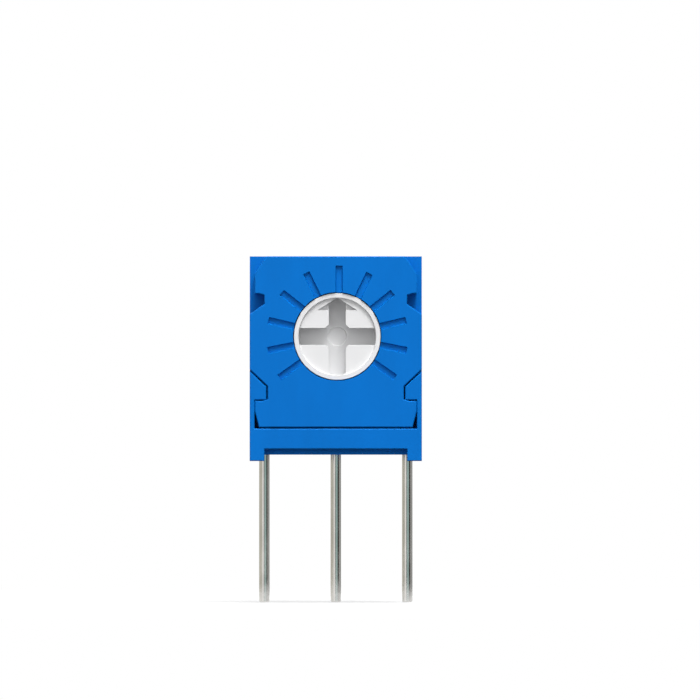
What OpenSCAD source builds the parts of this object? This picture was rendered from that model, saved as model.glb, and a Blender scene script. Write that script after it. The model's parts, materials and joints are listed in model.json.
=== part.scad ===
// Trimmer potentiometer: square sealed cermet pot, adjusted from the front,
// snapped into a U-shaped base frame and standing on three round leads in line.
// Frame: +Z up, +X to the right, the adjusting face looks along -Y.
// The origin is on the middle lead's axis, in the plane of the circuit board.

/* [Package] */
// Width of the housing and the base frame
body_w = 6.12; // [6.1:0.01:6.6]
// Depth from the adjusting face to the back
body_depth = 4.8; // [4.7:0.01:5.6]
// Height of the housing
housing_h = 6.077; // [6:0.001:6.8]
// Distance of the lead row from the back
row_to_back = 1.9; // [1.85:0.01:1.95]
// Wall of the housing round its rear pocket
wall = 0.3; // [0.26:0.01:0.32]

/* [Leads] */
// Distance between neighbouring leads
pitch = 2.54; // [2.5:0.01:2.56]
// Diameter of a lead
lead_d = 0.373; // [0.35:0.001:0.42]
// Length of a lead below the board plane
lead_len = 5.04; // [3:0.01:9]
// Chamfer on the cut end of a lead
lead_tip = 0.03; // [0.01:0.01:0.08]
// Width of the coined upper part of a lead
blade_w = 0.36; // [0.3:0.01:0.38]
// Thickness of the coined upper part of a lead
blade_t = 0.2; // [0.16:0.01:0.24]
// Height of the soldered tab at a lead's top
tab_h = 0.8; // [0.7:0.01:0.9]
// How far the outer tabs reach inwards past their blade
tab_reach = 0.44; // [0.38:0.01:0.5]
// Diameter of the peg that passes through the ceramic
peg_d = 0.28; // [0.2:0.01:0.32]

/* [Base frame] */
// Height of the feet under the plate
foot_h = 0.426; // [0.36:0.001:0.7]
// Gap between the board and the guide rail
rail_clear = 0.224; // [0.1:0.001:0.3]
// Thickness of the plate
plate_t = 0.727; // [0.5:0.001:1.2]
// Width of a foot
foot_w = 0.524; // [0.4:0.001:0.6]
// Length of a front foot
front_foot_l = 0.7; // [0.5:0.01:1.1]
// Length of a back foot
back_foot_l = 0.7; // [0.4:0.01:0.75]
// Set-back of the guide rail from the front and the back
rail_inset = 0.45; // [0.2:0.01:0.6]
// Thickness of a side arm
arm_t = 0.173; // [0.14:0.001:0.2]
// Depth of the side arms and of the steps that they lie in
arm_depth = 1.2; // [0.9:0.01:1.3]
// Height of a hook's underside above the plate
hook_z = 1.02; // [0.9:0.01:1.12]
// Reach of a hook past its arm
hook_reach = 0.419; // [0.3:0.001:0.43]
// Height of a hook's blunt nose
hook_nose = 0.466; // [0.3:0.001:0.5]
// Rise of a hook's slope from nose to side
hook_rise = 0.554; // [0.45:0.001:0.6]

/* [Housing face] */
// Gap between the housing's underside and the plate
pocket_gap = 0.046; // [0.02:0.001:0.08]
// Gap between a hook and its notch
snap_gap = 0.047; // [0.03:0.001:0.06]
// Gap between an arm and its step
arm_gap = 0.008; // [0.005:0.001:0.02]
// Drop of the notch floor below the hook
notch_drop = 0.036; // [0.02:0.001:0.06]
// Width of the lead-in at the notch floor's inner end
notch_ramp_w = 0.185; // [0.1:0.001:0.22]
// Height of the lead-in at the notch floor's inner end
notch_ramp_h = 0.057; // [0.03:0.001:0.08]
// Pull-in of the lower corners
taper_w = 0.152; // [0.08:0.001:0.2]
// Height of the pull-in of the lower corners
taper_h = 0.587; // [0.4:0.001:0.7]
// Width cut from each upper corner of the raised face
corner_w = 0.414; // [0.2:0.001:0.6]
// Height cut from each upper corner of the raised face
corner_h = 0.622; // [0.3:0.001:0.8]
// Distance of the upper notch below the top
top_notch_z = 1.322; // [1.25:0.001:1.38]
// Depth of the upper notch from the step
top_notch_w = 0.334; // [0.22:0.001:0.36]
// Height of the upper notch's inner wall
top_notch_h = 0.366; // [0.25:0.001:0.42]
// Rise of the upper notch's slope
top_notch_rise = 0.373; // [0.25:0.001:0.42]
// Width of the slope under the upper notch's ceiling
top_notch_lip = 0.202; // [0.1:0.001:0.24]
// Bevel along the outline of the face
edge_bevel = 0.03; // [0.01:0.005:0.05]

/* [Scale ticks] */
// Number of ticks
tick_count = 11; // [5:2:13]
// Angle between the first and the last tick
tick_span = 250; // [200:1:256]
// Width of a tick
tick_w = 0.249; // [0.15:0.001:0.28]
// Depth of a tick
tick_depth = 0.11; // [0.05:0.01:0.16]
// Radius at a tick's outer end
tick_r = 2.516; // [2.2:0.001:2.56]
// Draft of a tick's side walls
tick_draft = 0.03; // [0:0.01:0.04]
// Distance of the middle tick to the right of the rotor's axis
tick_mid_side = 0.063; // [0:0.001:0.1]

/* [Rotor] */
// Height of the rotor's axis above the housing's underside
axis_up = 3.227; // [3.18:0.001:3.25]
// Distance of the rotor's axis to the right of the middle lead
axis_side = 0.053; // [0:0.001:0.06]
// Diameter of the rotor's head
head_d = 3.08; // [2.9:0.01:3.1]
// Width of the rim round the head
rim_w = 0.179; // [0.12:0.001:0.22]
// Depth of the rim below the housing's face
rim_sink = 0.06; // [0.02:0.01:0.18]
// Depth of the head's floor below the rim
bowl_depth = 0.1; // [0.06:0.01:0.2]
// Depth of the cross slot below the head's floor
slot_depth = 0.8; // [0.35:0.01:0.85]
// Width of the cross slot
slot_w = 0.6; // [0.52:0.01:0.7]
// Chamfer of the cross slot's upper inner corners
slot_cut = 0.125; // [0.05:0.005:0.2]
// Radius of the cross slot's lower inner corners
slot_round = 0.16; // [0.05:0.01:0.25]
// Half width of the arrow head
arrow_w = 0.697; // [0.5:0.001:0.75]
// Height of the arrow head's base above the axis
arrow_z = 0.935; // [0.85:0.001:1]
// Depth of the arrow head below the head's floor
arrow_depth = 0.2; // [0.1:0.01:0.3]
// Diameter of the dimple in the middle
dimple_d = 0.714; // [0.4:0.001:0.73]
// Depth of the dimple
dimple_depth = 0.1; // [0.04:0.01:0.12]
// Bevel of the rim's edges
rim_bevel = 0.025; // [0.01:0.005:0.06]
// Diameter of the flange inside the housing
flange_d = 4.2; // [4.1:0.01:4.22]
// Thickness of the flange
flange_t = 0.47; // [0.4:0.01:0.5]
// Running clearance round the head
head_gap = 0.025; // [0.02:0.005:0.06]
// Play between the flange and the housing's shoulder
flange_play = 0.03; // [0.02:0.01:0.05]

/* [Stops] */
// Turn from the middle to each end stop
turn = 125; // [110:1:128]
// Half angle of the rotor's stop lug
lug_half = 20; // [14:1:22]
// Radius at the lug's tip
lug_r = 2.39; // [2.3:0.01:2.4]
// Angle left between lug and stop at the end of the turn
stop_ease = 0.6; // [0.4:0.1:1]
// Gap between the flange and the stop
stop_gap = 0.05; // [0.04:0.01:0.07]

/* [Seal] */
// Thickness of the front lip that covers the seal
lip_t = 0.48; // [0.42:0.01:0.5]
// Section of the sealing ring
ring_d = 0.38; // [0.32:0.01:0.39]
// Room round the sealing ring
ring_gap = 0.025; // [0.02:0.005:0.04]
// Radius of the chamber behind the face
chamber_r = 2.45; // [2.43:0.01:2.5]

/* [Element] */
// Thickness of the ceramic
ceramic_t = 0.64; // [0.5:0.01:0.68]
// Gap round the ceramic
ceramic_gap = 0.06; // [0.03:0.01:0.08]
// Thickness of the printed films
film_t = 0.02; // [0.015:0.005:0.025]
// Middle radius of the resistive track
track_r = 1.7; // [1.6:0.01:1.74]
// Width of the resistive track
track_w = 0.46; // [0.36:0.01:0.5]
// Half angle of the resistive track
track_half = 130; // [129:1:133]
// Radius of the collector's round pad
collector_r = 0.55; // [0.45:0.01:0.7]
// Height of the lead pegs above the housing's underside
peg_up = 0.9; // [0.86:0.01:0.96]
// Radius of the pads round the pegs
pad_r = 0.32; // [0.28:0.01:0.34]
// Height of a solder joint
solder_h = 0.16; // [0.1:0.01:0.18]
// Depth of the rear seal below the housing's back edge
seal_sink = 0.15; // [0.05:0.01:0.3]

/* [Contact spring] */
// Thickness of the spring sheet
sheet_t = 0.08; // [0.05:0.01:0.1]
// Radius of the spring's plate
plate_r = 0.95; // [0.9:0.01:1.05]
// Width of one contact finger
finger_w = 0.16; // [0.1:0.01:0.18]
// Distance between the fingers
finger_pitch = 0.21; // [0.2:0.01:0.24]
// Number of contact fingers
finger_count = 3; // [1:1:3]
// Distance of the stakes from the axis
stake_x = 0.62; // [0.58:0.01:0.66]
// Diameter of a stake
stake_d = 0.24; // [0.2:0.01:0.28]
// Width of the tongue that touches the collector
tongue_w = 0.26; // [0.2:0.01:0.3]
// Gap between a contact's bend and the films
contact_gap = 0.015; // [0.01:0.005:0.02]

/* [Hidden] */
$fn = 96;

// Fits and small reliefs that stay the same in every package
lead_fit = 0.04;
print_fit = 0.01;
seat_fit = 0.01;
arm_end_gap = 0.03;
tab_edge = 0.04;
tab_side = 0.2;
bore_bevel = 0.01;
tip_reach = 0.025;
pad_angle = 7;
feed_w = 0.34;
over = 0.2;

// Heights and half widths
half_w = body_w / 2;
plate_top = foot_h + plate_t;
house_z = plate_top + pocket_gap;
house_top = house_z + housing_h;
axis_z = house_z + axis_up;
step_x = half_w - arm_t - arm_gap;

// Depths, from the face to the back
face_y = row_to_back - body_depth;
step_y = face_y + arm_depth;
rim_y = face_y + rim_sink;
bowl_y = rim_y + bowl_depth;
slot_y = bowl_y + slot_depth;
gland_y = face_y + lip_t;
shoulder_y = gland_y + ring_d + 2 * ring_gap;
flange_y = shoulder_y + flange_play;
plate_y = flange_y + flange_t;
stop_y = plate_y + flange_play + stop_gap;
ceramic_back = -blade_t / 2;
ceramic_front = ceramic_back - ceramic_t;
film_y = ceramic_front - film_t;
ledge_y = film_y - print_fit;
back_y = row_to_back;
seal_y = back_y - seal_sink;

// Radii of the rotor and of what it turns in
head_r = head_d / 2;
bowl_r = head_r - rim_w;
bore_r = head_r + head_gap;
gland_r = head_r + ring_d + 2 * ring_gap;
flange_r = flange_d / 2;
stop_r = flange_r + stop_gap;
stop_half = 180 - turn - lug_half - stop_ease;

// Rear pocket, pegs and the contact spring's neck
pocket_x = half_w - wall;
pocket_z0 = house_z + wall;
pocket_z1 = house_top - wall;
peg_z = house_z + peg_up;
peg_step = pitch - tab_reach + blade_w / 2 - peg_d / 2 - tab_edge;
tab_z0 = peg_z - tab_h / 2;
brush_w = (finger_count - 1) * finger_pitch + finger_w;
neck_z = plate_r + 0.06;
window_z = 0.62;
tongue_bend = 0.12;

// Points of a hook and of the notch that it snaps into
hook_in = half_w - arm_t - hook_reach;
hook_under = plate_top + hook_z;
hook_top = hook_under + hook_nose + hook_rise;
slope = atan2(hook_rise, half_w - hook_in);
notch_x = hook_in - snap_gap;
notch_z = hook_under - notch_drop;
notch_nose = hook_under + hook_nose + snap_gap * (1 / cos(slope) - tan(slope));
notch_top = hook_top + snap_gap / cos(slope);
upper_z = house_top - top_notch_z;
upper_x = step_x - top_notch_w;

// Right half of the raised face, from its lower corner to its upper one
face_half = [
    [step_x - taper_w, house_z],
    [step_x, house_z + taper_h],
    [step_x, notch_z],
    [notch_x + notch_ramp_w, notch_z],
    [notch_x, notch_z + notch_ramp_h],
    [notch_x, notch_nose],
    [half_w, notch_top],
    [half_w, upper_z - top_notch_h - top_notch_rise],
    [upper_x - 0.018, upper_z - top_notch_h],
    [upper_x, upper_z - 0.052],
    [upper_x + top_notch_lip, upper_z],
    [step_x, upper_z],
    [step_x, house_top - corner_h],
    [step_x - corner_w, house_top]
];

// Right half of the frame's front view, from the foot round to the plate's top
frame_half = [
    [half_w - foot_w, foot_h],
    [half_w - foot_w, 0],
    [half_w, 0],
    [half_w, hook_top],
    [hook_in, hook_under + hook_nose],
    [hook_in, hook_under],
    [half_w - arm_t, hook_under],
    [half_w - arm_t, plate_top]
];

function mirrored(points) = [for (i = [len(points) - 1:-1:0]) [-points[i].x, points[i].y]];
function both(points) = concat(points, mirrored(points));

// A point in the face's plane, its angle turned clockwise from twelve
function clock(a, r) = [r * sin(a), r * cos(a)];

function peg_x(i) = (i - 2) * peg_step;

// Section of the rotor's head and flange: radius, then depth
function head_profile() = [
    [0, bowl_y],
    [bowl_r, bowl_y],
    [bowl_r, rim_y + rim_bevel],
    [bowl_r + rim_bevel, rim_y],
    [head_r - rim_bevel, rim_y],
    [head_r, rim_y + rim_bevel],
    [head_r, flange_y],
    [flange_r, flange_y],
    [flange_r, plate_y],
    [0, plate_y]
];

// Gives a front-view outline the depth from y0 to y1
module slab(y0, y1)
    translate([0, y1, 0]) rotate([90, 0, 0]) linear_extrude(y1 - y0) children();

// The same for an outline drawn about the rotor's axis
module axis_slab(y0, y1)
    slab(y0, y1) translate([axis_side, axis_z]) children();

// Lays a turned shape on the rotor's axis, its height running along +Y
module on_axis()
    translate([axis_side, 0, axis_z]) rotate([-90, 0, 0]) children();

// A round bar along Y
module bar(r, y0, y1, x = axis_side, z = axis_z)
    translate([x, y0, z]) rotate([-90, 0, 0]) cylinder(r = r, h = y1 - y0);

// A box between two corners
module block(from, to)
    translate(from) cube(to - from);

// A stretch of a ring between two clock angles
module arc(r0, r1, a0, a1)
    intersection() {
        difference() {
            circle(r = r1);
            circle(r = r0);
        }
        polygon(concat([[0, 0]], [for (i = [0:6]) clock(a0 + (a1 - a0) * i / 6, 1.4 * r1)]));
    }

// Cuts a bevel along every edge of a front-view outline that runs anticlockwise.
// A cut is lengthened only past outward corners, so no inward corner is nicked.
module bevel_outline(points, c, y) {
    n = len(points);
    for (i = [0:n - 1]) {
        a = points[i];
        b = points[(i + 1) % n];
        run = b - a;
        before = a - points[(i + n - 1) % n];
        after = points[(i + 2) % n] - b;
        e0 = cross(before, run) > 0 ? c : 0;
        e1 = cross(run, after) > 0 ? c : 0;
        translate([a.x, y, a.y]) rotate([0, -atan2(run.y, run.x), 0])
            translate([-e0, 0, 0]) rotate([90, 0, 90])
                linear_extrude(norm(run) + e0 + e1)
                    polygon([[c + over, -over], [-over, c + over], [-over, -over]]);
    }
}

module housing() {
    color("dodgerblue") difference() {
        union() {
            slab(face_y, back_y) polygon(both(face_half));
            block([-half_w, step_y, plate_top + seat_fit], [half_w, back_y, house_top]);
        }
        bevel_outline(both(face_half), edge_bevel, face_y);
        ticks();
        bar(bore_r, face_y - over, gland_y + over);
        on_axis() translate([0, 0, face_y - over])
            cylinder(r1 = bore_r + bore_bevel + over, r2 = bore_r, h = bore_bevel + over);
        bar(gland_r, gland_y, shoulder_y + over);
        axis_slab(shoulder_y, ledge_y + over) stopped_chamber();
        bar(chamber_r, stop_y, ledge_y + over);
        block([-pocket_x, ledge_y, pocket_z0], [pocket_x, back_y + over, pocket_z1]);
        for (i = [1:3]) {
            bar(pad_r + ceramic_gap, ledge_y - solder_h - 2 * ceramic_gap, ledge_y + over,
                peg_x(i), peg_z);
            lead_channel(i, over, back_y + over);
        }
    }
}

// The chamber behind the face, less the block that stops the lug
module stopped_chamber()
    difference() {
        circle(r = chamber_r);
        arc(stop_r, chamber_r + over, 180 - stop_half, 180 + stop_half);
    }

// Radial ticks in the face, open to the bore, with drafted side walls
module ticks() {
    top = tick_w / 2 + over * tick_draft / tick_depth;
    foot = tick_w / 2 - tick_draft;
    for (i = [0:tick_count - 1]) {
        a = (i / (tick_count - 1) - 0.5) * tick_span;
        x = a == 0 ? axis_side + tick_mid_side : axis_side;
        translate([x, face_y, axis_z]) rotate([0, a, 0]) translate([0, 0, bore_r - over])
            linear_extrude(tick_r - bore_r + over)
                polygon([[-top, -over], [top, -over], [foot, tick_depth], [-foot, tick_depth]]);
    }
}

// Slot for a lead through the housing's lower wall
module lead_channel(i, extra, y1) {
    x = (i - 2) * pitch;
    w = blade_w / 2 + lead_fit;
    block([x - w, -blade_t / 2 - lead_fit, house_z - extra], [x + w, y1, pocket_z0 + extra]);
}

module base_frame() {
    color("royalblue") difference() {
        union() {
            slab(face_y, step_y - arm_end_gap) difference() {
                polygon(both(frame_half));
                translate([-half_w - over, -over]) square([body_w + 2 * over, foot_h + over]);
            }
            block([-half_w, face_y, foot_h], [half_w, back_y, plate_top]);
            block([foot_w - half_w, face_y + rail_inset, rail_clear],
                [half_w - foot_w, back_y - rail_inset, plate_top]);
            for (side = [-1, 1]) {
                x = side * (half_w - foot_w / 2);
                block([x - foot_w / 2, face_y, 0], [x + foot_w / 2, face_y + front_foot_l, plate_top]);
                block([x - foot_w / 2, back_y - back_foot_l, 0], [x + foot_w / 2, back_y, plate_top]);
            }
        }
        bevel_outline(both(frame_half), edge_bevel, face_y);
        for (i = [1:3]) {
            x = (i - 2) * pitch;
            w = blade_w / 2 + lead_fit;
            t = blade_t / 2 + lead_fit;
            block([x - w, -t, rail_clear - over], [x + w, t, plate_top + over]);
        }
    }
}

module rotor() {
    color("whitesmoke") {
        difference() {
            union() {
                on_axis() rotate_extrude() polygon(head_profile());
                axis_slab(flange_y, plate_y) arc(head_r, lug_r, -lug_half, lug_half);
            }
            axis_slab(bowl_y - over, slot_y) cross_slot();
            axis_slab(bowl_y - over, bowl_y + arrow_depth) arrow_head(arrow_z);
            dimple();
        }
        for (side = [-1, 1]) {
            x = axis_side + side * stake_x;
            bar(stake_d / 2, plate_y - over, plate_y + sheet_t + 0.01, x);
            bar(0.8 * stake_d, plate_y + sheet_t, plate_y + 2 * sheet_t, x);
        }
    }
}

// Arrow head with its tip at the rim, cut off below a height
module arrow_head(z) {
    tip = bowl_r + tip_reach;
    w = arrow_w * (tip - z) / (tip - arrow_z);
    intersection() {
        circle(r = bowl_r);
        polygon([[-w, z], [w, z], [0, tip]]);
    }
}

// Cross slot, its corners cut above the middle and rounded below it, its upper arm
// ending in the arrow's tip
module cross_slot() {
    s = slot_w / 2;
    intersection() {
        circle(r = bowl_r);
        union() {
            translate([-s, -head_r]) square([slot_w, head_r + arrow_z]);
            intersection() {
                arrow_head(arrow_z - over);
                translate([-s, 0]) square([slot_w, head_r]);
            }
            square([2 * head_r, slot_w], center = true);
            for (side = [-1, 1]) scale([side, 1]) {
                polygon([[s - over, s - over], [s + slot_cut, s], [s, s + slot_cut]]);
                difference() {
                    translate([s - over, -s - slot_round]) square(slot_round + over);
                    translate([s + slot_round, -s - slot_round]) circle(r = slot_round);
                }
            }
        }
    }
}

// Shallow spherical dimple in the middle of the slot's floor
module dimple() {
    r = (dimple_d * dimple_d / 4 + dimple_depth * dimple_depth) / (2 * dimple_depth);
    intersection() {
        on_axis() translate([0, 0, slot_y + dimple_depth - r]) sphere(r = r);
        bar(dimple_d / 2, slot_y - 0.02, slot_y + over);
    }
}

module o_ring() {
    color("dimgray") on_axis() rotate_extrude()
        translate([head_r + ring_gap + ring_d / 2, gland_y + ring_gap + ring_d / 2])
            circle(d = ring_d, $fn = 32);
}

// Sheet-metal wiper: a plate staked to the rotor, brush fingers and a middle tongue
module contact_spring() {
    color("goldenrod") {
        axis_slab(plate_y, plate_y + sheet_t) difference() {
            union() {
                circle(r = plate_r);
                translate([-brush_w / 2, 0]) square([brush_w, neck_z]);
            }
            translate([-tongue_w, -window_z]) square([2 * tongue_w, window_z + 0.3]);
            for (side = [-1, 1])
                translate([side * stake_x, 0]) circle(d = stake_d + lead_fit);
        }
        for (i = [0:finger_count - 1])
            strip((i - (finger_count - 1) / 2) * finger_pitch, finger_w, neck_z - 0.04, track_r);
        strip(0, tongue_w, -window_z - 0.04, tongue_bend);
    }
}

// A bent strip: flat at its root, then a slope to the contact's bend, its tip lifted clear
module strip(x, w, z0, z1) {
    y0 = plate_y;
    y1 = film_y - contact_gap - sheet_t;
    translate([axis_side + x - w / 2, 0, axis_z]) rotate([90, 0, 90]) linear_extrude(w)
        polygon([
            [y0, z0], [y0, z0 + 0.12], [y1, z1 - 0.06], [y1, z1 + 0.04],
            [y1 - 0.1, z1 + 0.16], [y1 - 0.04, z1 + 0.2],
            [y1 + sheet_t, z1 + 0.06], [y1 + sheet_t, z1 - 0.08],
            [y0 + sheet_t, z0 + 0.1], [y0 + sheet_t, z0]
        ]);
}

module substrate() {
    color("ivory") slab(ceramic_front, ceramic_back) difference() {
        translate([ceramic_gap - pocket_x, pocket_z0 + ceramic_gap])
            square([2 * (pocket_x - ceramic_gap), pocket_z1 - pocket_z0 - 2 * ceramic_gap]);
        for (i = [1:3]) peg_hole(i);
    }
}

module peg_hole(i)
    translate([peg_x(i), peg_z]) circle(d = peg_d + 2 * print_fit);

module resistive_track() {
    color("darkslategray") axis_slab(film_y, ceramic_front)
        arc(track_r - track_w / 2, track_r + track_w / 2, -track_half, track_half);
}

module collector_pad() {
    color("silver") slab(film_y, ceramic_front) difference() {
        union() {
            translate([axis_side, axis_z]) circle(r = collector_r);
            translate([-feed_w / 2, peg_z]) square([feed_w, axis_z - peg_z]);
            translate([0, peg_z]) circle(r = pad_r);
        }
        peg_hole(2);
    }
}

// Conductor from one end of the track to the peg of its lead
module end_pad(side) {
    peg = [peg_step - side * axis_side, peg_z - axis_z];
    a = atan2(peg.x, peg.y);
    color("silver") axis_slab(film_y, ceramic_front) scale([side, 1]) difference() {
        union() {
            arc(track_r - track_w / 2, track_r + track_w / 2, track_half, a + pad_angle);
            rotate(-a) translate([-feed_w / 2, track_r]) square([feed_w, norm(peg) - track_r]);
            translate(peg) circle(r = pad_r);
        }
        translate(peg) circle(d = peg_d + 2 * print_fit);
    }
}

module end_pad_left() end_pad(-1);
module end_pad_right() end_pad(1);

// A round lead, coined flat above the rail, with a tab and a peg for the ceramic
module lead(i) {
    x = (i - 2) * pitch;
    color("lightgray") {
        translate([x, 0, -lead_len])
            cylinder(d1 = lead_d - 2 * lead_tip, d2 = lead_d, h = lead_tip);
        translate([x, 0, lead_tip - lead_len])
            cylinder(d = lead_d, h = lead_len + rail_clear - lead_tip);
        lead_top(i);
        bar(peg_d / 2, film_y - solder_h / 2, 0, peg_x(i), peg_z);
    }
}

// The coined blade of a lead and its tab, which reaches inwards to the peg
module lead_top(i) {
    side = i - 2;
    x = side * pitch;
    t = blade_t / 2;
    inner = side == 0 ? peg_d / 2 + tab_side : tab_reach + blade_w / 2;
    outer = side == 0 ? inner : blade_w / 2;
    block([x - blade_w / 2, -t, rail_clear], [x + blade_w / 2, t, tab_z0 + tab_h]);
    block([x - (side < 0 ? outer : inner), -t, tab_z0],
        [x + (side < 0 ? inner : outer), t, tab_z0 + tab_h]);
}

module lead_1() lead(1);
module lead_2() lead(2);
module lead_3() lead(3);

// Solder over a peg's end and round it, on the pad
module solder(i) {
    color("gainsboro") translate([peg_x(i), 0, peg_z]) rotate([-90, 0, 0]) rotate_extrude()
        polygon([
            [0, film_y - solder_h],
            [peg_d / 2, film_y - solder_h],
            [pad_r - 0.02, film_y],
            [peg_d / 2, film_y],
            [peg_d / 2, film_y - solder_h / 2],
            [0, film_y - solder_h / 2]
        ]);
}

module solder_1() solder(1);
module solder_2() solder(2);
module solder_3() solder(3);

// Casting resin behind the ceramic and in the lead slots
module rear_seal() {
    color("steelblue") difference() {
        union() {
            block([-pocket_x, ceramic_back, pocket_z0], [pocket_x, seal_y, pocket_z1]);
            for (i = [1:3]) lead_channel(i, 0, seal_y);
        }
        for (i = [1:3]) lead_top(i);
    }
}

housing();
base_frame();
rotor();
o_ring();
contact_spring();
substrate();
resistive_track();
collector_pad();
end_pad_left();
end_pad_right();
lead_1();
lead_2();
lead_3();
solder_1();
solder_2();
solder_3();
rear_seal();
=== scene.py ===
import json
import math

import bmesh
import bpy
from mathutils import Matrix, Vector

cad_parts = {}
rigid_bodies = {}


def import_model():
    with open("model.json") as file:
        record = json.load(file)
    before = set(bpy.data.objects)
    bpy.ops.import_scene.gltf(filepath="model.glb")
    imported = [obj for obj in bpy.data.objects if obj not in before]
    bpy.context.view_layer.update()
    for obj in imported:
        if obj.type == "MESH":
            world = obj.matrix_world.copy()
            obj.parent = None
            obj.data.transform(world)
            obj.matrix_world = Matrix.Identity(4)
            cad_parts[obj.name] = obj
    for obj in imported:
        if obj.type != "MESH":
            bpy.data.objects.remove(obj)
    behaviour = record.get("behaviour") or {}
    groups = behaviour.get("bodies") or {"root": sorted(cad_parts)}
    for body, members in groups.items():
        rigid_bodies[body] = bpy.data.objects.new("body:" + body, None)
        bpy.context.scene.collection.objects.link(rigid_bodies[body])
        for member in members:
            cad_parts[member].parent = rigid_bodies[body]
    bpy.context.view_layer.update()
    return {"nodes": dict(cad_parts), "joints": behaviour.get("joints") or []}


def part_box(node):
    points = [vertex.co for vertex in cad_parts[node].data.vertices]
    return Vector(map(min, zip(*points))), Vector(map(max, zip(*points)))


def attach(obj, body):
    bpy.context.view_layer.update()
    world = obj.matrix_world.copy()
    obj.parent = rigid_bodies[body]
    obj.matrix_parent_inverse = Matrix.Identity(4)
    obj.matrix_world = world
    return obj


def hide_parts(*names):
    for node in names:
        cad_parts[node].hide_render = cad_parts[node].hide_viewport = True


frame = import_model()

bl_info = {
    "name": "Trimmer Potentiometer",
    "version": (1, 0, 0),
    "blender": (4, 5, 0),
    "location": "View3D > Sidebar > Trimmer",
    "description": "Dresses a square, front adjusted trimmer potentiometer in its base frame",
    "category": "Object",
}

MM = 0.001

# Bodies that the pieces ride on
POT_BODY = "pot_body"
ADJUSTER = "adjuster"

# Sizes of a lead that its box doesn't give
SHOULDER = 0.224 * MM
TIP_CHAMFER = 0.03 * MM
BLADE_WIDTH = 0.36 * MM
BLADE_THICK = 0.2 * MM
TAB_HEIGHT = 0.8 * MM
PEG_RADIUS = 0.14 * MM
PEG_INSET = 0.18 * MM

# The leads' surface: facets round the wire and round its peg, length between its rings of
# faces, and the tin's unevenness as a share of the radius, with the length of its waves
WIRE_SIDES = 40
PEG_SIDES = 32
WIRE_RING = 0.03 * MM
TIN_WAVE = 0.006
WAVE_LENGTH = 0.9 * MM

# Places taken from the frame
FACE_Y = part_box("housing")[0].y
WIRE_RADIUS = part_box("lead_2")[1].y
WIRE_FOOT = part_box("lead_2")[0].z
WIRE_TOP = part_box("lead_2")[1].z
PEG_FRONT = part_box("lead_2")[0].y
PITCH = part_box("lead_3")[1].x - BLADE_WIDTH / 2
AXIS = Vector(frame["joints"][0]["pos_m"])

# How a copy of a CAD node is worked on: merging and slack in millimetres, the angle up to
# which faces are one plane, and the rounding's facets and the angle from which it is made
SAME_POINT = 0.0004
SLACK = 0.002
FLAT = math.radians(0.4)
EDGE_SEGMENTS = 2
EDGE_ANGLE = math.radians(25)

# Floor of the rotor's slot, and the dimple in its middle: its radius, a depth that it stays
# short of, and its section as shares of that radius with the depth at each
SLOT_FLOOR = FACE_Y + 0.96 * MM
DIMPLE_RADIUS = 0.357 * MM
DIMPLE_REACH = 0.15 * MM
DIMPLE_SECTION = [
    (0.95, 0.01 * MM),
    (0.9, 0.06 * MM),
    (0.84, 0.073 * MM),
    (0.7, 0.085 * MM),
    (0.5, 0.094 * MM),
    (0.25, 0.099 * MM),
    (0.0, 0.1 * MM),
]

# The rotor's rim: its radius, how far behind the face it reaches, the bevel that both of its
# edges have in CAD, and the draft that the inner edge has in the photograph
RIM_RADIUS = 1.54 * MM
RIM_REACH = 0.1 * MM
RIM_BEVEL = 0.025 * MM
RIM_WIDTH = 0.154 * MM
RIM_DRAFT = 0.006 * MM

# The scale's ticks: how far out and how deep they reach and their step. The photograph's ticks
# at the sides are turned away from the top, by TICK_FALL times a sine of TICK_BEND times their
# angle, and its first tick to the right of the middle one stands off to the side
SCALE_RADIUS = 2.54 * MM
SCALE_DEPTH = 0.115 * MM
TICK_STEP = math.radians(25)
TICK_FALL = math.radians(1.8)
TICK_BEND = 1.35
TICK_SIDE = 0.05 * MM

# The bore's edge in the face: how far out it reaches, and the bevel that it has in CAD
BORE_REACH = 1.6 * MM
BORE_BEVEL = 0.016 * MM

# The photograph's frame on the plane of the adjusting face
PICTURE_WIDTH = 24.876 * MM
PICTURE_CENTRE = (0.506 * MM, 3.946 * MM)

# Distance of the softboxes, and the back lamp's direction and apparent size
LAMP_DISTANCE = 200 * MM
BACK_LAMP_WAY = (0.5, -1.0, -0.9)
BACK_LAMP_SIZE = math.radians(30)

# The floor: half its side, how far below the leads it lies, and how far from the object it
# shows the shadow in full, and where it shows none
FLOOR_HALF = 600 * MM
FLOOR_GAP = 0.02 * MM
SHADOW_REACH = (30 * MM, 60 * MM)

# Cards round the object, seen only in reflections: from and to in degrees, turned from
# straight in front towards the right, and the brightness and tint of each
CARDS = [
    (-180, -47, (0.58, 0.56, 0.49)),
    (-47, -22, (1.0, 0.97, 0.95)),
    (-22, 0, (0.3, 0.33, 0.32)),
    (0, 40, (0.33, 0.46, 0.44)),
    (40, 72, (0.04, 0.035, 0.03)),
    (72, 180, (0.36, 0.36, 0.35)),
]
CARD_DISTANCE = 30 * MM
CARD_TOP = 30 * MM
CARD_STEP = 6


def scene_props():
    """The settings of every piece, kept on the scene."""
    return bpy.context.scene.trimmer


def straight(colour):
    """An sRGB colour, 0 to 255, as the linear colour that a shader takes."""
    def channel(v):
        v = v / 255
        return v / 12.92 if v <= 0.04045 else ((v + 0.055) / 1.055) ** 2.4
    return tuple(channel(v) for v in colour)


def add_object(name, data):
    """Adds an object with its data to the scene."""
    obj = bpy.data.objects.new(name, data)
    bpy.context.scene.collection.objects.link(obj)
    return obj


# Node helpers

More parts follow.
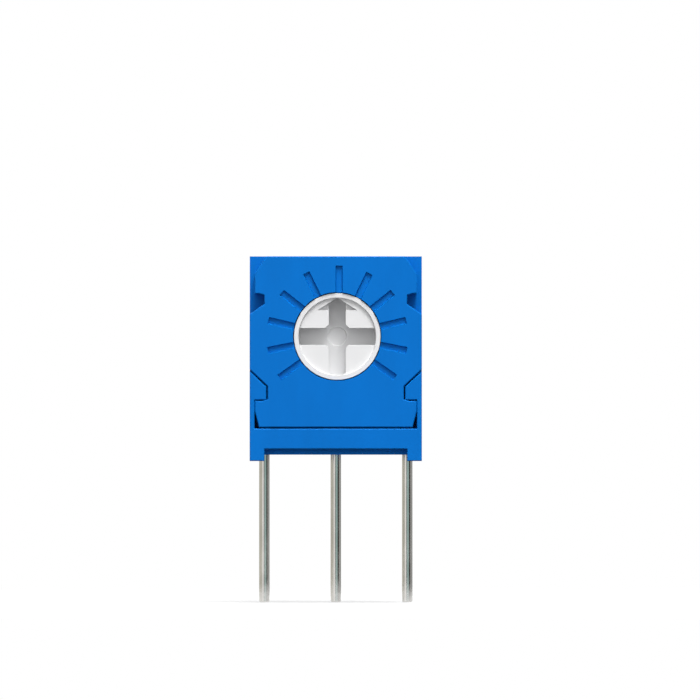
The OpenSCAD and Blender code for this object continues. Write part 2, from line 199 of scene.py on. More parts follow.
def new_material(name):
    """An empty node material with its output and one Principled shader."""
    material = bpy.data.materials.new(name)
    material.use_nodes = True
    tree = material.node_tree
    tree.nodes.clear()
    output = tree.nodes.new("ShaderNodeOutputMaterial")
    shader = tree.nodes.new("ShaderNodeBsdfPrincipled")
    output.location = (600, 0)
    shader.location = (300, 0)
    tree.links.new(shader.outputs["BSDF"], output.inputs["Surface"])
    return material, tree, shader


def object_pattern(tree, scale, at=(-700, 0)):
    """Object coordinates, scaled to repeat that many times a metre along each axis."""
    coordinates = tree.nodes.new("ShaderNodeTexCoord")
    coordinates.location = (at[0] - 200, at[1])
    mapping = tree.nodes.new("ShaderNodeMapping")
    mapping.location = at
    mapping.inputs["Scale"].default_value = scale
    tree.links.new(coordinates.outputs["Object"], mapping.inputs["Vector"])
    return mapping.outputs["Vector"]


def noise(tree, vector, detail=3.0, roughness=0.5, at=(-450, 0)):
    """A noise texture's value along a vector."""
    node = tree.nodes.new("ShaderNodeTexNoise")
    node.location = at
    node.inputs["Scale"].default_value = 1.0
    node.inputs["Detail"].default_value = detail
    node.inputs["Roughness"].default_value = roughness
    tree.links.new(vector, node.inputs["Vector"])
    return node.outputs["Fac"]


def ramp(tree, value, stops):
    """A colour ramp through (position, colour) stops."""
    node = tree.nodes.new("ShaderNodeValToRGB")
    node.location = (-200, 0)
    elements = node.color_ramp.elements
    while len(elements) < len(stops):
        elements.new(0.5)
    for element, (position, colour) in zip(elements, stops):
        element.position = position
        element.color = (*colour, 1)
    tree.links.new(value, node.inputs["Fac"])
    return node.outputs["Color"]


def span(tree, value, low, high):
    """Maps a noise's usual span, 0.3 to 0.7, to low and high."""
    node = tree.nodes.new("ShaderNodeMapRange")
    node.location = (-200, -200)
    node.inputs["From Min"].default_value = 0.3
    node.inputs["From Max"].default_value = 0.7
    node.inputs["To Min"].default_value = low
    node.inputs["To Max"].default_value = high
    tree.links.new(value, node.inputs["Value"])
    return node.outputs["Result"]


def bump(tree, shader, height, depth):
    """Feeds a height, with its depth in metres, to a shader's normal."""
    node = tree.nodes.new("ShaderNodeBump")
    node.location = (50, -300)
    node.inputs["Distance"].default_value = depth
    node.inputs["Strength"].default_value = 1.0
    tree.links.new(height, node.inputs["Height"])
    tree.links.new(node.outputs["Normal"], shader.inputs["Normal"])


def tint(colour, factor):
    """A colour made lighter or darker by a factor."""
    return tuple(min(1.0, c * factor) for c in colour)


def emission(tree, colour, strength=1.0):
    """A shader that gives off light."""
    node = tree.nodes.new("ShaderNodeEmission")
    node.inputs["Color"].default_value = (*colour, 1)
    node.inputs["Strength"].default_value = strength
    return node


def seen_light(tree):
    """One for what the camera sees, also in a mirror or through glass, and else nothing."""
    path = tree.nodes.new("ShaderNodeLightPath")
    seen = path.outputs["Is Camera Ray"]
    for kind in ("Is Glossy Ray", "Is Transmission Ray"):
        either = tree.nodes.new("ShaderNodeMath")
        either.operation = "MAXIMUM"
        tree.links.new(seen, either.inputs[0])
        tree.links.new(path.outputs[kind], either.inputs[1])
        seen = either.outputs[0]
    return seen


def mixed(tree, share, first, second):
    """Two shaders, mixed by the share of the second."""
    node = tree.nodes.new("ShaderNodeMixShader")
    tree.links.new(share, node.inputs[0])
    tree.links.new(first.outputs[0], node.inputs[1])
    tree.links.new(second.outputs[0], node.inputs[2])
    return node


# Finishes

def blue_moulding(name, look):
    """Moulded thermoplastic: nearly even colour, fine spark-eroded grain, faint flow marks."""
    material, tree, shader = new_material(name)
    colour = tuple(look.colour)
    grain = object_pattern(tree, (1 / look.grain,) * 3)
    flow = object_pattern(tree, (900, 900, 260), at=(-700, -400))
    mottle = noise(tree, flow, detail=4.0, roughness=0.6, at=(-450, -400))
    tone = ramp(tree, mottle, [(0.32, tint(colour, 0.96)), (0.68, tint(colour, 1.04))])
    tree.links.new(tone, shader.inputs["Base Color"])
    fine = noise(tree, grain, detail=2.0, at=(-450, 0))
    tree.links.new(span(tree, fine, look.roughness - 0.05, look.roughness + 0.06),
                   shader.inputs["Roughness"])
    shader.inputs["Specular IOR Level"].default_value = look.gloss
    bump(tree, shader, fine, look.grain_depth)
    return material


def white_moulding(name, look):
    """Unfilled white thermoplastic that lets a little light in, with a fine grain."""
    material, tree, shader = new_material(name)
    colour = tuple(look.colour)
    grain = object_pattern(tree, (1 / look.grain,) * 3)
    fine = noise(tree, grain, detail=2.0)
    cloud = noise(tree, object_pattern(tree, (1500,) * 3, at=(-700, -400)), at=(-450, -400))
    tone = ramp(tree, cloud, [(0.3, tint(colour, 0.975)), (0.7, colour)])
    tree.links.new(tone, shader.inputs["Base Color"])
    tree.links.new(span(tree, fine, look.roughness - 0.05, look.roughness + 0.08),
                   shader.inputs["Roughness"])
    shader.inputs["Specular IOR Level"].default_value = look.gloss
    shader.inputs["Subsurface Weight"].default_value = look.glow
    shader.inputs["Subsurface Radius"].default_value = (1.0, 0.9, 0.8)
    shader.inputs["Subsurface Scale"].default_value = look.glow_depth
    bump(tree, shader, fine, look.grain_depth)
    return material


def drawn_metal(name, colour, roughness, across, along, depth):
    """Metal with fine lines along Z, uneven in gloss and slightly uneven in colour."""
    material, tree, shader = new_material(name)
    lines = noise(tree, object_pattern(tree, (across, across, along)), detail=4.0)
    patches = noise(tree, object_pattern(tree, (2200, 2200, 900), at=(-700, -400)),
                    detail=4.0, at=(-450, -400))
    tone = ramp(tree, patches, [(0.3, tint(colour, 0.9)), (0.7, tint(colour, 1.04))])
    tree.links.new(tone, shader.inputs["Base Color"])
    tree.links.new(span(tree, patches, roughness - 0.03, roughness + 0.06),
                   shader.inputs["Roughness"])
    shader.inputs["Metallic"].default_value = 1.0
    bump(tree, shader, lines, depth)
    return material


def speckled(name, low, high, roughness, size, depth, metallic=0.0):
    """A fired, cast or rubber surface: two near colours in fine specks, and a small relief."""
    material, tree, shader = new_material(name)
    specks = noise(tree, object_pattern(tree, (1 / size,) * 3), detail=4.0, roughness=0.65)
    tree.links.new(ramp(tree, specks, [(0.35, low), (0.65, high)]), shader.inputs["Base Color"])
    tree.links.new(span(tree, specks, roughness - 0.06, roughness + 0.06),
                   shader.inputs["Roughness"])
    shader.inputs["Metallic"].default_value = metallic
    bump(tree, shader, specks, depth)
    return material


# Settings

class MouldingLook(bpy.types.PropertyGroup):
    """Finish of the two blue mouldings."""
    colour: bpy.props.FloatVectorProperty(
        name="Colour", description="Colour of the blue plastic", subtype="COLOR", size=3,
        min=0, max=1, default=straight((1, 104, 188)))
    roughness: bpy.props.FloatProperty(
        name="Roughness", description="How matt the plastic is", min=0.1, max=1, default=0.48)
    gloss: bpy.props.FloatProperty(
        name="Gloss", description="Strength of the plastic's reflection", min=0, max=1,
        default=0.06)
    grain: bpy.props.FloatProperty(
        name="Grain", description="Size of the mould's grain", subtype="DISTANCE",
        min=0.00001, max=0.001, default=0.05 * MM)
    grain_depth: bpy.props.FloatProperty(
        name="Grain depth", description="Depth of the mould's grain", subtype="DISTANCE",
        min=0, max=0.0001, default=0.0012 * MM, precision=6)
    edge: bpy.props.FloatProperty(
        name="Edge", description="Rounding of the moulded edges", subtype="DISTANCE",
        min=0, max=0.0001, default=0.014 * MM, precision=6)


class RotorLook(bpy.types.PropertyGroup):
    """Finish of the white rotor."""
    colour: bpy.props.FloatVectorProperty(
        name="Colour", description="Colour of the white plastic", subtype="COLOR", size=3,
        min=0, max=1, default=straight((216, 216, 217)))
    roughness: bpy.props.FloatProperty(
        name="Roughness", description="How matt the plastic is", min=0.1, max=1, default=0.5)
    gloss: bpy.props.FloatProperty(
        name="Gloss", description="Strength of the plastic's reflection", min=0, max=1,
        default=0.3)
    glow: bpy.props.FloatProperty(
        name="Glow", description="Share of the light that enters the plastic", min=0, max=1,
        default=0.0)
    glow_depth: bpy.props.FloatProperty(
        name="Glow depth", description="How far light travels in the plastic",
        subtype="DISTANCE", min=0, max=0.001, default=0.08 * MM, precision=6)
    grain: bpy.props.FloatProperty(
        name="Grain", description="Size of the mould's grain", subtype="DISTANCE",
        min=0.00001, max=0.001, default=0.04 * MM, precision=6)
    grain_depth: bpy.props.FloatProperty(
        name="Grain depth", description="Depth of the mould's grain", subtype="DISTANCE",
        min=0, max=0.0001, default=0.0006 * MM, precision=6)
    edge: bpy.props.FloatProperty(
        name="Edge", description="Rounding of the moulded edges", subtype="DISTANCE",
        min=0, max=0.0001, default=0.008 * MM, precision=6)


class LeadLook(bpy.types.PropertyGroup):
    """Form and finish of the tinned leads."""
    colour: bpy.props.FloatVectorProperty(
        name="Colour", description="Colour of the tin", subtype="COLOR", size=3,
        min=0, max=1, default=(0.74, 0.73, 0.71))
    roughness: bpy.props.FloatProperty(
        name="Roughness", description="How dull the tin is", min=0.05, max=1, default=0.1)
    sides: bpy.props.IntProperty(
        name="Sides", description="Facets round the wire", min=12, max=96,
        default=WIRE_SIDES)
    ring: bpy.props.FloatProperty(
        name="Ring", description="Length between the rings of faces along the wire",
        subtype="DISTANCE", min=0.00001, max=0.001, default=WIRE_RING, precision=6)
    wave: bpy.props.FloatProperty(
        name="Wave", description="Unevenness of the tin, as a share of the radius", min=0,
        max=0.05, default=TIN_WAVE, precision=4)


class StudioLook(bpy.types.PropertyGroup):
    """Camera, lamps and floor."""
    lens: bpy.props.FloatProperty(
        name="Lens", description="Focal length of the camera, in millimetres", min=50, max=1500,
        default=1400)
    key: bpy.props.FloatProperty(
        name="Key", description="Light of the key lamp on a surface that faces it", min=0,
        max=20, default=3.75)
    key_rise: bpy.props.FloatProperty(
        name="Key rise", description="Angle of the key lamp above straight in front",
        subtype="ANGLE", min=0, max=1.57, default=math.radians(62))
    key_side: bpy.props.FloatProperty(
        name="Key side", description="Angle of the key lamp to the right", subtype="ANGLE",
        min=-1.57, max=1.57, default=math.radians(13))
    key_length: bpy.props.FloatProperty(
        name="Key length", description="Apparent height of the key lamp", subtype="ANGLE",
        min=0, max=3.14, default=math.radians(34))
    key_width: bpy.props.FloatProperty(
        name="Key width", description="Apparent width of the key lamp", subtype="ANGLE",
        min=0, max=3.14, default=math.radians(18))
    top: bpy.props.FloatProperty(
        name="Top", description="Light of the broad top lamp on a surface that faces it", min=0,
        max=20, default=2.9)
    top_rise: bpy.props.FloatProperty(
        name="Top rise", description="Angle of the top lamp above straight in front",
        subtype="ANGLE", min=0, max=1.57, default=math.radians(28))
    top_spread: bpy.props.FloatProperty(
        name="Top spread", description="Apparent size of the top lamp", subtype="ANGLE", min=0,
        max=3, default=math.radians(80))
    fill: bpy.props.FloatProperty(
        name="Fill", description="Strength of the lamp behind the object", min=0, max=20,
        default=1.2)
    sky: bpy.props.FloatProperty(
        name="Sky", description="Strength of the even light from all round", min=0, max=5,
        default=0.52)
    floor_bounce: bpy.props.FloatVectorProperty(
        name="Floor bounce", description="Light that the floor throws back on the object",
        subtype="COLOR", size=3, min=0, max=1, default=(0.12, 0.12, 0.12))
    floor_glow: bpy.props.FloatProperty(
        name="Floor glow", description="White that the floor shows even in the deepest shadow",
        min=0, max=1, default=0.6)
    floor_pale: bpy.props.FloatProperty(
        name="Floor pale", description="Share of its light that the floor shows besides", min=0,
        max=1, default=0.3)


class TrimmerSettings(bpy.types.PropertyGroup):
    """All settings of the trimmer."""
    moulding: bpy.props.PointerProperty(type=MouldingLook)
    rotor: bpy.props.PointerProperty(type=RotorLook)
    lead: bpy.props.PointerProperty(type=LeadLook)
    studio: bpy.props.PointerProperty(type=StudioLook)


# Meshes

def shade(mesh, material, sharp=None):
    """Gives a mesh one material and smooth shading, which breaks at edges over an angle."""
    mesh.materials.clear()
    mesh.materials.append(material)
    mesh.polygons.foreach_set("use_smooth", [True] * len(mesh.polygons))
    if sharp is not None:
        mesh.set_sharp_from_angle(angle=sharp)
    mesh.update()


def place(name, mesh, body, slot, *nodes):
    """Puts a finished mesh in the scene, riding on its body, in the place of CAD nodes."""
    obj = add_object(name, mesh)
    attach(obj, body)
    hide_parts(*nodes)


def soft_edged(node, edge, redraw=None):
    """A CAD node's mesh, merged and with its sharp edges rounded, worked on in millimetres."""
    mesh = frame["nodes"][node].data.copy()
    mesh.transform(Matrix.Scale(1 / MM, 4))
    work = bmesh.new()
    work.from_mesh(mesh)
    bmesh.ops.remove_doubles(work, verts=work.verts, dist=SAME_POINT)
    if redraw:
        redraw(work)
    bmesh.ops.dissolve_limit(work, angle_limit=FLAT, verts=work.verts, edges=work.edges)
    work.to_mesh(mesh)
    work.free()
    mesh.polygons.foreach_set("use_smooth", [True] * len(mesh.polygons))
    obj = add_object(node + "_work", mesh)
    rounding = obj.modifiers.new("Edges", "BEVEL")
    rounding.width = edge / MM
    rounding.segments = EDGE_SEGMENTS
    rounding.limit_method = "ANGLE"
    rounding.angle_limit = EDGE_ANGLE
    rounding.harden_normals = False
    normals = obj.modifiers.new("Normals", "WEIGHTED_NORMAL")
    normals.weight = 100
    normals.keep_sharp = False
    depsgraph = bpy.context.evaluated_depsgraph_get()
    result = bpy.data.meshes.new_from_object(obj.evaluated_get(depsgraph))
    bpy.data.objects.remove(obj)
    result.transform(Matrix.Scale(MM, 4))
    return result


def redraw_dimple(work):
    """Puts a finely turned dimple, its edge steeper than its floor, in place of the coarse one."""
    centre = Vector((AXIS.x, SLOT_FLOOR, AXIS.z)) / MM
    reach = DIMPLE_RADIUS / MM + SLACK

    def within(vert):
        off = vert.co - centre
        return math.hypot(off.x, off.z) < reach and -SLACK < off.y < DIMPLE_REACH / MM

    coarse = [face for face in work.faces
              if all(within(vert) for vert in face.verts)
              and face.calc_center_median().y > centre.y + SAME_POINT]
    if not coarse:
        raise RuntimeError("the rotor's slot has no dimple")
    bmesh.ops.delete(work, geom=coarse, context="FACES")
    bmesh.ops.delete(work, geom=[v for v in work.verts if not v.link_faces], context="VERTS")
    rim = sorted({vert for edge in work.edges if edge.is_boundary for vert in edge.verts},
                 key=lambda v: math.atan2(v.co.z - centre.z, v.co.x - centre.x))
    outer = rim
    for share, depth in DIMPLE_SECTION[:-1]:
        ring = centre + Vector((0, depth / MM, 0))
        inner = [work.verts.new(ring + share * (v.co - centre)) for v in rim]
        for k in range(len(rim)):
            work.faces.new((outer[k - 1], outer[k], inner[k], inner[k - 1]))
        outer = inner
    bottom = work.verts.new(centre + Vector((0, DIMPLE_SECTION[-1][1] / MM, 0)))
    for k in range(len(rim)):
        work.faces.new((outer[k - 1], outer[k], bottom))
    bmesh.ops.recalc_face_normals(work, faces=work.faces)


def redraw_rim(work):
    """Gives the rotor's rim a plain outer edge and a steep inner one, in place of wide bevels."""
    centre = Vector((AXIS.x, FACE_Y, AXIS.z)) / MM
    outer = RIM_RADIUS / MM
    inner = (RIM_RADIUS - RIM_WIDTH) / MM
    bevel = RIM_BEVEL / MM + SLACK
    for vert in work.verts:
        off = vert.co - centre
        radius = math.hypot(off.x, off.z)
        if off.y > RIM_REACH / MM:
            continue
        if outer - bevel < radius < outer:
            reach = outer
        elif inner - bevel < radius < inner - SLACK:
            reach = inner - RIM_DRAFT / MM
        else:
            continue
        vert.co.x = centre.x + off.x * reach / radius
        vert.co.z = centre.z + off.z * reach / radius


def redraw_rotor(work):
    """Redraws the rim and the dimple of the rotor's head."""
    redraw_rim(work)
    redraw_dimple(work)


def redraw_face(work):
    """Turns the scale's ticks as in the photograph, and makes the bore's bevel a plain edge."""
    centre = Vector((AXIS.x, FACE_Y, AXIS.z)) / MM
    bore = []
    for vert in work.verts:
        off = vert.co - centre
        radius = math.hypot(off.x, off.z)
        if radius < SCALE_RADIUS / MM and off.y < SCALE_DEPTH / MM:
            angle = math.atan2(off.x, off.z)
            # 1 up to a quarter of a step from the first tick to the right, 0 from half a step
            beside = max(0.0, min(1.0, 2 - 4 * abs(angle / TICK_STEP - 1)))
            turned = angle + TICK_FALL * math.sin(TICK_BEND * angle)
            turned += beside * TICK_SIDE / MM / radius
            vert.co.x = centre.x + radius * math.sin(turned)
            vert.co.z = centre.z + radius * math.cos(turned)
            if radius < BORE_REACH / MM:
                bore.append(vert)
    bmesh.ops.remove_doubles(work, verts=bore, dist=BORE_BEVEL / MM)


def dress(node, material):
    """Gives a CAD node its finish."""
    obj = frame["nodes"][node]
    obj.data.materials.clear()
    obj.data.materials.append(material)


# The lead's tree

class Tree:
    """A geometry tree under construction."""

    def __init__(self, name, inputs):
        self.tree = bpy.data.node_groups.new(name, "GeometryNodeTree")
        self.tree.interface.new_socket("Geometry", in_out="OUTPUT",
                                       socket_type="NodeSocketGeometry")
        self.ids = {}
        for label, kind, value in inputs:
            socket = self.tree.interface.new_socket(label, in_out="INPUT",
                                                    socket_type="NodeSocket" + kind)
            if value is not None:
                socket.default_value = value
            self.ids[label] = socket.identifier
        self.start = self.tree.nodes.new("NodeGroupInput")
        self.end = self.tree.nodes.new("NodeGroupOutput")

    def given(self, label):
        """An input of the tree."""
        return self.start.outputs[label]

    def add(self, kind, out=0, settings=None, **inputs):
        """Adds a node, sets or links its inputs, and returns one output."""
        node = self.tree.nodes.new(kind)
        for key, value in (settings or {}).items():
            setattr(node, key, value)
        for label, value in inputs.items():
            self.feed(node.inputs[label.replace("_", " ")], value)
        return node.outputs[out]

    def feed(self, socket, value):
        """Links an output to a socket, or sets the socket's value."""
        if isinstance(value, bpy.types.NodeSocket):
            self.tree.links.new(value, socket)
        else:
            socket.default_value = value

    def math(self, operation, a, b):
        """One Math node."""
        node = self.tree.nodes.new("ShaderNodeMath")
        node.operation = operation
        self.feed(node.inputs[0], a)
        self.feed(node.inputs[1], b)
        return node.outputs[0]

    def vector(self, x, y, z):
        """A vector from three values or sockets."""
        return self.add("ShaderNodeCombineXYZ", X=x, Y=y, Z=z)

    def box(self, low, high):
        """A box between two corners, each given as three values or sockets."""
        size = [self.math("SUBTRACT", b, a) for a, b in zip(low, high)]
        middle = [self.math("MULTIPLY", self.math("ADD", a, b), 0.5) for a, b in zip(low, high)]
        cube = self.add("GeometryNodeMeshCube", Size=self.vector(*size))
        return self.add("GeometryNodeTransform", Geometry=cube, Translation=self.vector(*middle))

    def join(self, parts):
        """All parts in one geometry."""
        node = self.tree.nodes.new("GeometryNodeJoinGeometry")
        for part in parts:
            self.tree.links.new(part, node.inputs[0])
        return node.outputs[0]


def lead_tree():
    """Tree of one lead: round wire with a chamfered end, coined blade, tab and peg."""
    t = Tree("Lead", [
        ("Across", "Float", 0.0), ("Radius", "Float", WIRE_RADIUS),
        ("Foot", "Float", WIRE_FOOT), ("Shoulder", "Float", SHOULDER),
        ("Chamfer", "Float", TIP_CHAMFER), ("Ring", "Float", WIRE_RING),
        ("Sides", "Int", WIRE_SIDES), ("Wave", "Float", TIN_WAVE), ("Seed", "Float", 0.0),
        ("Tab left", "Float", 0.0), ("Tab right", "Float", 0.0), ("Top", "Float", WIRE_TOP),
        ("Peg across", "Float", 0.0), ("Material", "Material", None)])
    x = t.given("Across")
    radius = t.given("Radius")
    line = t.add("GeometryNodeCurvePrimitiveLine",
                 Start=t.vector(x, 0.0, t.given("Foot")), End=t.vector(x, 0.0, t.given("Shoulder")))
    rings = t.add("GeometryNodeResampleCurve", settings={"mode": "LENGTH"},
                  Curve=line, Length=t.given("Ring"))
    along = t.add("GeometryNodeSplineParameter", out="Length")
    uneven = t.add("ShaderNodeTexNoise", out="Fac", settings={"noise_dimensions": "1D"},
                   W=t.math("ADD", t.math("MULTIPLY", along, 1 / WAVE_LENGTH), t.given("Seed")),
                   Scale=1.0, Detail=2.0)
    wave = t.math("MULTIPLY", t.math("SUBTRACT", uneven, 0.5), t.given("Wave"))
    cut = t.math("MAXIMUM", t.math("SUBTRACT", t.given("Chamfer"), along), 0.0)
    thickness = t.math("SUBTRACT", t.math("MULTIPLY", radius, t.math("ADD", wave, 1.0)), cut)
    circle = t.add("GeometryNodeCurvePrimitiveCircle", Resolution=t.given("Sides"), Radius=1.0)
    wire = t.add("GeometryNodeCurveToMesh", Curve=rings, Profile_Curve=circle, Scale=thickness,
                 Fill_Caps=True)
    half_width, half_thick = BLADE_WIDTH / 2, BLADE_THICK / 2
    blade = t.box((t.math("SUBTRACT", x, half_width), -half_thick, t.given("Shoulder")),
                  (t.math("ADD", x, half_width), half_thick, t.given("Top")))
    tab_foot = t.math("SUBTRACT", t.given("Top"), TAB_HEIGHT)
    tab = t.box((t.given("Tab left"), -half_thick, tab_foot),
                (t.given("Tab right"), half_thick, t.given("Top")))
    peg = t.add("GeometryNodeMeshCylinder", Vertices=PEG_SIDES, Radius=PEG_RADIUS,
                Depth=-PEG_FRONT)
    peg_height = t.math("SUBTRACT", t.given("Top"), TAB_HEIGHT / 2)
    peg = t.add("GeometryNodeTransform", Geometry=peg, Rotation=(math.pi / 2, 0, 0),
                Translation=t.vector(t.given("Peg across"), PEG_FRONT / 2, peg_height))
    whole = t.add("GeometryNodeRealizeInstances", Geometry=t.join([wire, blade, tab, peg]))
    finished = t.add("GeometryNodeSetMaterial", Geometry=whole, Material=t.given("Material"))
    t.tree.links.new(finished, t.end.inputs[0])
    return t


def grow(tree, values):
    """Runs a geometry tree with its named inputs and returns the plain mesh."""
    obj = add_object("seed", bpy.data.meshes.new("seed"))
    modifier = obj.modifiers.new("Tree", "NODES")
    modifier.node_group = tree.tree
    for label, value in values.items():
        modifier[tree.ids[label]] = value
    depsgraph = bpy.context.evaluated_depsgraph_get()
    result = bpy.data.meshes.new_from_object(obj.evaluated_get(depsgraph))
    obj.modifiers.remove(modifier)
    bpy.data.objects.remove(obj)
    if not result.polygons:
        raise RuntimeError("the tree made no faces")
    return result


# Studio

def set_camera(look):
    """A long lens straight in front of the adjusting face."""
    data = bpy.data.cameras.new("Camera")
    data.lens = look.lens
    distance = PICTURE_WIDTH * look.lens / data.sensor_width
    data.clip_start = 0.1 * distance
    data.clip_end = 4 * distance
    camera = add_object("Camera", data)
    camera.location = (PICTURE_CENTRE[0], FACE_Y - distance, PICTURE_CENTRE[1])
    camera.rotation_euler = (math.pi / 2, 0, 0)
    bpy.context.scene.camera = camera


def softbox(name, light, rise, side_turn, width, length):
    """A softbox that leans over the object, in front of it, with its apparent width and length."""
    data = bpy.data.lights.new(name, "AREA")
    data.shape = "RECTANGLE"
    data.size = 2 * LAMP_DISTANCE * math.tan(width / 2)
    data.size_y = 2 * LAMP_DISTANCE * math.tan(length / 2)
    data.energy = light * math.pi * LAMP_DISTANCE ** 2
    lamp = add_object(name, data)
    turn = Matrix.Rotation(side_turn, 4, "Z") @ Matrix.Rotation(-rise, 4, "X")
    toward = turn @ Vector((0, -1, 0))
    side = turn @ Vector((1, 0, 0))
    lamp_axes = Matrix((side, toward.cross(side), toward)).transposed().to_4x4()
    centre = Vector((PICTURE_CENTRE[0], FACE_Y, PICTURE_CENTRE[1]))
    lamp.matrix_world = Matrix.Translation(centre + toward * LAMP_DISTANCE) @ lamp_axes


def sun(name, direction, strength, size):
    """A far lamp that shines along a direction."""
    data = bpy.data.lights.new(name, "SUN")
    data.energy = strength
    data.angle = size
    lamp = add_object(name, data)
    lamp.rotation_mode = "QUATERNION"
    lamp.rotation_quaternion = Vector(direction).to_track_quat("-Z", "Y")


def set_sky(look):
    """Even pale light all round, and plain white to the camera."""
    world = bpy.data.worlds.new("Studio sky")
    bpy.context.scene.world = world
    world.use_nodes = True
    tree = world.node_tree
    tree.nodes.clear()
    output = tree.nodes.new("ShaderNodeOutputWorld")
    light = tree.nodes.new("ShaderNodeBackground")
    white = tree.nodes.new("ShaderNodeBackground")
    light.inputs["Strength"].default_value = look.sky
    white.inputs["Strength"].default_value = 1.0
    white.inputs["Color"].default_value = (1, 1, 1, 1)
    sky = mixed(tree, seen_light(tree), light, white)
    tree.links.new(sky.outputs[0], output.inputs["Surface"])


def floor_material(look):
    """White with a soft shadow near the object, plain white far from it, and dark to the rest."""
    material, tree, shader = new_material("Floor")
    shader.inputs["Base Color"].default_value = (*look.floor_bounce, 1)
    shader.inputs["Roughness"].default_value = 0.9
    shader.inputs["Specular IOR Level"].default_value = 0.1
    white = emission(tree, (1, 1, 1))
    glow = emission(tree, (1, 1, 1), look.floor_glow)
    pale = tree.nodes.new("ShaderNodeBsdfDiffuse")
    pale.inputs["Color"].default_value = (look.floor_pale,) * 3 + (1,)
    shaded = tree.nodes.new("ShaderNodeAddShader")
    tree.links.new(glow.outputs[0], shaded.inputs[0])
    tree.links.new(pale.outputs[0], shaded.inputs[1])
    away = tree.nodes.new("ShaderNodeVectorMath")
    away.operation = "LENGTH"
    tree.links.new(object_pattern(tree, (1, 1, 1)), away.inputs[0])
    far = tree.nodes.new("ShaderNodeMapRange")
    far.inputs["From Min"].default_value, far.inputs["From Max"].default_value = SHADOW_REACH
    tree.links.new(away.outputs["Value"], far.inputs["Value"])
    near_and_far = mixed(tree, far.outputs["Result"], shaded, white)
    whole = mixed(tree, seen_light(tree), shader, near_and_far)
    output = next(n for n in tree.nodes if n.type == "OUTPUT_MATERIAL")
    tree.links.new(whole.outputs[0], output.inputs["Surface"])
    return material


def lay_floor(look):
    """A white floor under the leads, with the object's shadow, that throws a little light back."""
    mesh = bpy.data.meshes.new("Floor")
    z = WIRE_FOOT - FLOOR_GAP
    corners = [(x * FLOOR_HALF, y * FLOOR_HALF, z) for x, y in ((-1, -1), (1, -1), (1, 1), (-1, 1))]
    mesh.from_pydata(corners, [], [(0, 1, 2, 3)])
    mesh.materials.append(floor_material(look))
    floor = add_object("Floor", mesh)


def hang_cards():
    """A ring of upright cards that only mirrored light sees."""
    for first, last, colour in CARDS:
        steps = max(2, round((last - first) / CARD_STEP))
        points = []
        for k in range(steps + 1):
            turn = math.radians(first + (last - first) * k / steps)
            points.append((CARD_DISTANCE * math.sin(turn), -CARD_DISTANCE * math.cos(turn)))
        verts = [(x, y, z) for x, y in points for z in (WIRE_FOOT, CARD_TOP)]
        faces = [(2 * k, 2 * k + 1, 2 * k + 3, 2 * k + 2) for k in range(steps)]
        mesh = bpy.data.meshes.new("Card")
        mesh.from_pydata(verts, [], faces)
        material = bpy.data.materials.new("Card")
        material.use_nodes = True
        tree = material.node_tree
        tree.nodes.clear()
        output = tree.nodes.new("ShaderNodeOutputMaterial")
        tree.links.new(emission(tree, colour).outputs[0], output.inputs["Surface"])
        mesh.materials.append(material)
        card = add_object("Card", mesh)
        card.visible_camera = False
        card.visible_diffuse = False
        card.visible_shadow = False
        card.visible_transmission = False


# Operators

class DressMouldings(bpy.types.Operator):
    """Gives the housing and the base frame soft edges and their blue plastic"""
    bl_idname = "trimmer.dress_mouldings"
    bl_label = "Blue mouldings"

    def execute(self, context):
        look = scene_props().moulding
        pieces = [("Housing", "housing", "housing_plastic", redraw_face),
                  ("Base_frame", "base_frame", "frame_plastic", None)]
        for name, node, slot, redraw in pieces:
            mesh = soft_edged(node, look.edge, redraw=redraw)
            shade(mesh, blue_moulding(name + " plastic", look))
            place(name, mesh, POT_BODY, slot, node)
        return {"FINISHED"}


class DressRotor(bpy.types.Operator):
    """Gives the rotor soft edges and its white plastic"""
    bl_idname = "trimmer.dress_rotor"
    bl_label = "White rotor"

    def execute(self, context):
        look = scene_props().rotor
        mesh = soft_edged("rotor", look.edge, redraw=redraw_rotor)
        shade(mesh, white_moulding("Rotor plastic", look))
        place("Rotor", mesh, ADJUSTER, "rotor_plastic", "rotor")
        return {"FINISHED"}


class DrawLeads(bpy.types.Operator):
    """Draws the three round tinned leads with their blades, tabs and pegs"""
    bl_idname = "trimmer.draw_leads"
    bl_label = "Tinned leads"

    def execute(self, context):
        look = scene_props().lead
        tin = drawn_metal("Tinned wire", tuple(look.colour), look.roughness, 30000, 900,
                          0.0004 * MM)
        tree = lead_tree()
        for i in (1, 2, 3):
            low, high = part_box(f"lead_{i}")
            side = i - 2
            peg = 0.0 if side == 0 else (low.x if side > 0 else high.x) + side * PEG_INSET
            mesh = grow(tree, {
                "Across": side * PITCH, "Seed": 7.0 * i, "Sides": look.sides,
                "Ring": look.ring, "Wave": look.wave, "Tab left": low.x, "Tab right": high.x,
                "Peg across": peg, "Material": tin})
            shade(mesh, tin, sharp=math.radians(35))
            place(f"Lead_{i}", mesh, POT_BODY, "tinned_wire", f"lead_{i}")
        return {"FINISHED"}


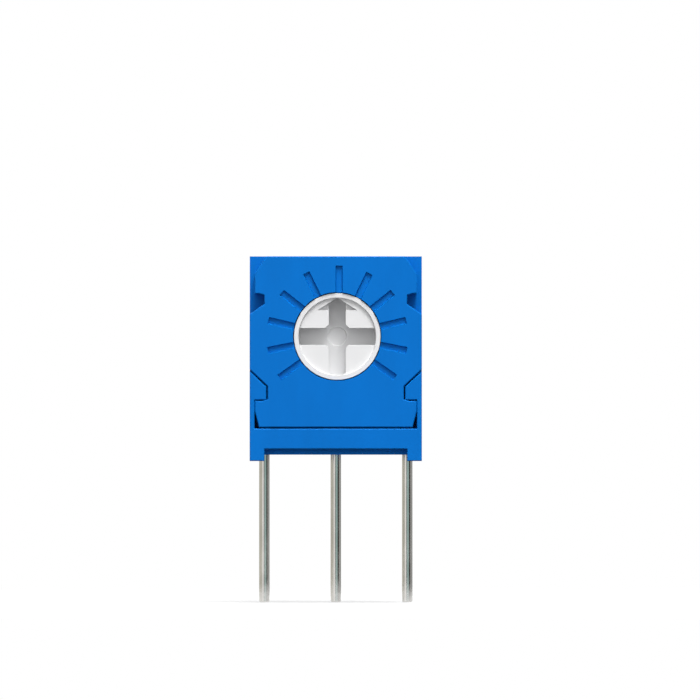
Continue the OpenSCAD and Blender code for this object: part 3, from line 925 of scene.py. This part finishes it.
class DressInside(bpy.types.Operator):
    """Gives the ring, the spring, the ceramic, the films, the solder and the resin their finish"""
    bl_idname = "trimmer.dress_inside"
    bl_label = "Inner pieces"

    def execute(self, context):
        dress("o_ring", speckled("Seal rubber", (0.012,) * 3, (0.02,) * 3, 0.6, 0.03 * MM,
                                 0.001 * MM))
        dress("contact_spring", drawn_metal("Spring alloy", (0.86, 0.66, 0.33), 0.25, 25000, 1200,
                                            0.0005 * MM))
        dress("substrate", speckled("Alumina", (0.78, 0.76, 0.71), (0.86, 0.85, 0.81), 0.55,
                                    0.03 * MM, 0.0008 * MM))
        dress("resistive_track", speckled("Cermet film", (0.012, 0.013, 0.015),
                                          (0.03, 0.031, 0.034), 0.4, 0.02 * MM, 0.001 * MM))
        silver = speckled("Silver film", (0.55, 0.54, 0.51), (0.68, 0.67, 0.64), 0.35,
                          0.02 * MM, 0.0008 * MM, metallic=1.0)
        for node in ("collector_pad", "end_pad_left", "end_pad_right"):
            dress(node, silver)
        solder = speckled("Solder", (0.6, 0.6, 0.6), (0.72, 0.72, 0.72), 0.2, 0.08 * MM,
                          0.002 * MM, metallic=1.0)
        for i in (1, 2, 3):
            dress(f"solder_{i}", solder)
        dress("rear_seal", speckled("Casting resin", straight((24, 78, 138)),
                                    straight((30, 92, 158)), 0.32, 0.5 * MM, 0.012 * MM))
        return {"FINISHED"}


class SetStudio(bpy.types.Operator):
    """Sets the camera, the lamps, the cards that the metal mirrors, the sky and the floor"""
    bl_idname = "trimmer.set_studio"
    bl_label = "Studio"

    def execute(self, context):
        look = scene_props().studio
        context.scene.view_settings.view_transform = "Standard"
        set_camera(look)
        softbox("Key lamp", look.key, look.key_rise, look.key_side, look.key_width,
                look.key_length)
        softbox("Top lamp", look.top, look.top_rise, 0.0, look.top_spread, look.top_spread)
        sun("Back lamp", BACK_LAMP_WAY, look.fill, BACK_LAMP_SIZE)
        set_sky(look)
        lay_floor(look)
        hang_cards()
        return {"FINISHED"}


# Panel and registration

class TrimmerPanel(bpy.types.Panel):
    """Lists the pieces and their settings"""
    bl_idname = "VIEW3D_PT_trimmer"
    bl_label = "Trimmer"
    bl_space_type = "VIEW_3D"
    bl_region_type = "UI"
    bl_category = "Trimmer"

    def draw(self, context):
        settings = scene_props()
        rows = [(DressMouldings, settings.moulding), (DressRotor, settings.rotor),
                (DrawLeads, settings.lead), (DressInside, None), (SetStudio, settings.studio)]
        for operator, look in rows:
            box = self.layout.box()
            box.operator(operator.bl_idname)
            if look:
                for name in look.bl_rna.properties.keys():
                    if name not in ("rna_type", "name"):
                        box.prop(look, name)


CLASSES = [MouldingLook, RotorLook, LeadLook, StudioLook, TrimmerSettings, DressMouldings,
           DressRotor, DrawLeads, DressInside, SetStudio, TrimmerPanel]


def register():
    """Registers the classes and puts the settings on the scene."""
    for cls in CLASSES:
        bpy.utils.register_class(cls)
    bpy.types.Scene.trimmer = bpy.props.PointerProperty(type=TrimmerSettings)


def unregister():
    """Takes the settings and the classes away again."""
    del bpy.types.Scene.trimmer
    for cls in reversed(CLASSES):
        bpy.utils.unregister_class(cls)


def main():
    """Builds the whole dressed part."""
    register()
    bpy.ops.trimmer.dress_mouldings()
    bpy.ops.trimmer.dress_rotor()
    bpy.ops.trimmer.draw_leads()
    bpy.ops.trimmer.dress_inside()
    bpy.ops.trimmer.set_studio()


if __name__ == "__main__":
    main()
